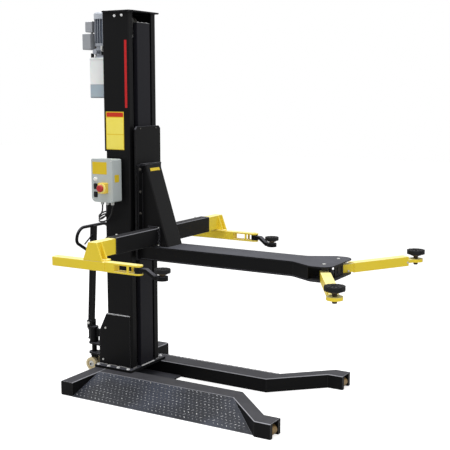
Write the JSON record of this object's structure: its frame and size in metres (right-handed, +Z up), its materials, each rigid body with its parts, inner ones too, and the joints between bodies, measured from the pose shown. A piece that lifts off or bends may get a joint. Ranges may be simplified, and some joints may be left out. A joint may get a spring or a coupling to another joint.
{
  "type": "mobile single-post car lift",
  "caption": "Wheeled single-post vehicle lift: column on a forked floor frame, sliding carriage with main arm, swing arms with pads, power unit, tow handle.",
  "frame": {"origin": "middle of the rear crossbar's underside, on the floor", "axes": "+X forward along the main arm, +Y to the left, +Z up"},
  "size_m": [2.2632, 1.494, 2.512],
  "materials": {
    "black_paint": "satin powder coat",
    "cover_paint": "satin powder coat",
    "tread_plate": "satin powder coat on tread plate",
    "yellow_paint": "gloss powder coat",
    "cylinder_paint": "satin",
    "zinc_steel": "zinc plated",
    "chain_steel": "oiled",
    "blued_steel": "black oxide",
    "grey_plastic": "fine grain",
    "white_plastic": "smooth",
    "yellow_plastic": "smooth",
    "red_plastic": "smooth",
    "button_plastic": "smooth",
    "gland_plastic": "smooth",
    "cable_rubber": "matte",
    "tank_plastic": "translucent",
    "cast_metal": "cast",
    "motor_paint": "satin",
    "grey_paint": "satin",
    "roller_brass": "worn nylon",
    "wheel_nylon": "worn nylon",
    "pad_rubber": "moulded"
  },
  "bodies": {
    "base": {"rear_crossbar": "black_paint", "right_leg": "black_paint", "right_ramp": "tread_plate", "base_plate": "black_paint", "right_rail": "black_paint", "back_panel": "black_paint", "front_cover": "cover_paint", "top_plate": "black_paint", "foot_gussets": "black_paint", "lift_cylinder": "cylinder_paint", "chain_sheave": "zinc_steel", "lift_chain": "chain_steel", "control_box": "grey_plastic", "indicator_lamp": "white_plastic", "stop_plate": "yellow_plastic", "cable_glands": "gland_plastic", "control_cables": "cable_rubber", "reservoir": "tank_plastic", "pump_block": "cast_metal", "pump_bracket": "black_paint", "motor": "motor_paint", "motor_boxes": "grey_paint", "steering_bracket": "black_paint", "left_leg": "black_paint", "left_ramp": "tread_plate", "left_rail": "black_paint"},
    "right_roller": {"right_leg_roller": "roller_brass"},
    "left_roller": {"left_leg_roller": "roller_brass"},
    "steering": {"steering_head": "black_paint"},
    "steering_wheel_pair": {"steering_wheels": "wheel_nylon"},
    "handle": {"tow_handle": "black_paint"},
    "stop_push": {"stop_button": "red_plastic"},
    "up_push": {"up_button": "button_plastic"},
    "down_push": {"down_button": "button_plastic"},
    "carriage": {"carriage_plate": "black_paint", "slide_plates": "black_paint", "slide_rollers": "zinc_steel", "clamp_bars": "black_paint", "brace": "black_paint", "crossbeam": "black_paint", "main_arm": "black_paint", "pivot_pins": "zinc_steel"},
    "right_arm": {"right_front_arm": "yellow_paint"},
    "right_sleeve": {"right_front_sleeve": "yellow_paint"},
    "right_front_lift_pad": {"right_front_screw": "blued_steel", "right_front_pad": "pad_rubber"},
    "right_outrigger_frame": {"right_outrigger": "yellow_paint"},
    "right_fork_slide": {"right_fork": "yellow_paint"},
    "right_swing": {"right_swing_arm": "black_paint"},
    "right_rear_lift_pad": {"right_rear_screw": "blued_steel", "right_rear_pad": "pad_rubber"},
    "left_arm": {"left_front_arm": "yellow_paint"},
    "left_sleeve": {"left_front_sleeve": "yellow_paint"},
    "left_front_lift_pad": {"left_front_screw": "blued_steel", "left_front_pad": "pad_rubber"},
    "left_outrigger_frame": {"left_outrigger": "yellow_paint"},
    "left_fork_slide": {"left_fork": "yellow_paint"},
    "left_swing": {"left_swing_arm": "black_paint"},
    "left_rear_lift_pad": {"left_rear_screw": "blued_steel", "left_rear_pad": "pad_rubber"}
  },
  "joints": [
    {"name": "lift", "type": "slide", "parent": "base", "child": "carriage", "axis": [0, 0, 1], "range_m": [-0.82, 0.69]},
    {"name": "right_roller_spin", "type": "hinge", "parent": "base", "child": "right_roller", "pos_m": [1.491, -0.52, 0.033], "axis": [0, 1, 0], "continuous": true},
    {"name": "left_roller_spin", "type": "hinge", "parent": "base", "child": "left_roller", "pos_m": [1.491, 0.52, 0.033], "axis": [0, 1, 0], "continuous": true},
    {"name": "steer", "type": "hinge", "parent": "base", "child": "steering", "pos_m": [-0.214, 0, 0.192], "axis": [0, 0, 1], "range_deg": [-75, 75]},
    {"name": "steering_wheels_spin", "type": "hinge", "parent": "steering", "child": "steering_wheel_pair", "pos_m": [-0.214, 0, 0.047], "axis": [0, 1, 0], "continuous": true},
    {"name": "handle_tilt", "type": "hinge", "parent": "steering", "child": "handle", "pos_m": [-0.236, 0, 0.345], "axis": [0, -1, 0], "range_deg": [0, 75]},
    {"name": "stop_press", "type": "slide", "parent": "base", "child": "stop_push", "axis": [0, 1, 0], "range_m": [0, 0.004]},
    {"name": "up_press", "type": "slide", "parent": "base", "child": "up_push", "axis": [0, 1, 0], "range_m": [0, 0.004], "stiffness_N_per_m": 800},
    {"name": "down_press", "type": "slide", "parent": "base", "child": "down_push", "axis": [0, 1, 0], "range_m": [0, 0.004], "stiffness_N_per_m": 800},
    {"name": "right_arm_swing", "type": "hinge", "parent": "carriage", "child": "right_arm", "pos_m": [1.631, -0.107, 0.9005], "axis": [0, 0, -1], "range_deg": [-58, 25]},
    {"name": "right_sleeve_slide", "type": "slide", "parent": "right_arm", "child": "right_sleeve", "axis": [0.4939, -0.8695, 0], "range_m": [0, 0.25]},
    {"name": "right_front_pad_screw", "type": "slide", "parent": "right_sleeve", "child": "right_front_lift_pad", "axis": [0, 0, 1], "range_m": [-0.015, 0.02]},
    {"name": "right_outrigger_slide", "type": "slide", "parent": "carriage", "child": "right_outrigger_frame", "axis": [0, 1, 0], "range_m": [-0.15, 0.09]},
    {"name": "right_fork_slide_out", "type": "slide", "parent": "right_outrigger_frame", "child": "right_fork_slide", "axis": [1, 0, 0], "range_m": [0, 0.15]},
    {"name": "right_swing_turn", "type": "hinge", "parent": "right_fork_slide", "child": "right_swing", "pos_m": [0.706, -0.717, 0.938], "axis": [0, 0, 1], "range_deg": [-65, 60]},
    {"name": "right_rear_pad_screw", "type": "slide", "parent": "right_swing", "child": "right_rear_lift_pad", "axis": [0, 0, 1], "range_m": [-0.005, 0.02]},
    {"name": "left_arm_swing", "type": "hinge", "parent": "carriage", "child": "left_arm", "pos_m": [1.631, 0.107, 0.9005], "axis": [0, 0, 1], "range_deg": [-58, 25]},
    {"name": "left_sleeve_slide", "type": "slide", "parent": "left_arm", "child": "left_sleeve", "axis": [0.4939, 0.8695, 0], "range_m": [0, 0.25]},
    {"name": "left_front_pad_screw", "type": "slide", "parent": "left_sleeve", "child": "left_front_lift_pad", "axis": [0, 0, 1], "range_m": [-0.015, 0.02]},
    {"name": "left_outrigger_slide", "type": "slide", "parent": "carriage", "child": "left_outrigger_frame", "axis": [0, -1, 0], "range_m": [-0.15, 0.09]},
    {"name": "left_fork_slide_out", "type": "slide", "parent": "left_outrigger_frame", "child": "left_fork_slide", "axis": [1, 0, 0], "range_m": [0, 0.15]},
    {"name": "left_swing_turn", "type": "hinge", "parent": "left_fork_slide", "child": "left_swing", "pos_m": [0.706, 0.717, 0.938], "axis": [0, 0, -1], "range_deg": [-65, 60]},
    {"name": "left_rear_pad_screw", "type": "slide", "parent": "left_swing", "child": "left_rear_lift_pad", "axis": [0, 0, 1], "range_m": [-0.005, 0.02]}
  ]
}
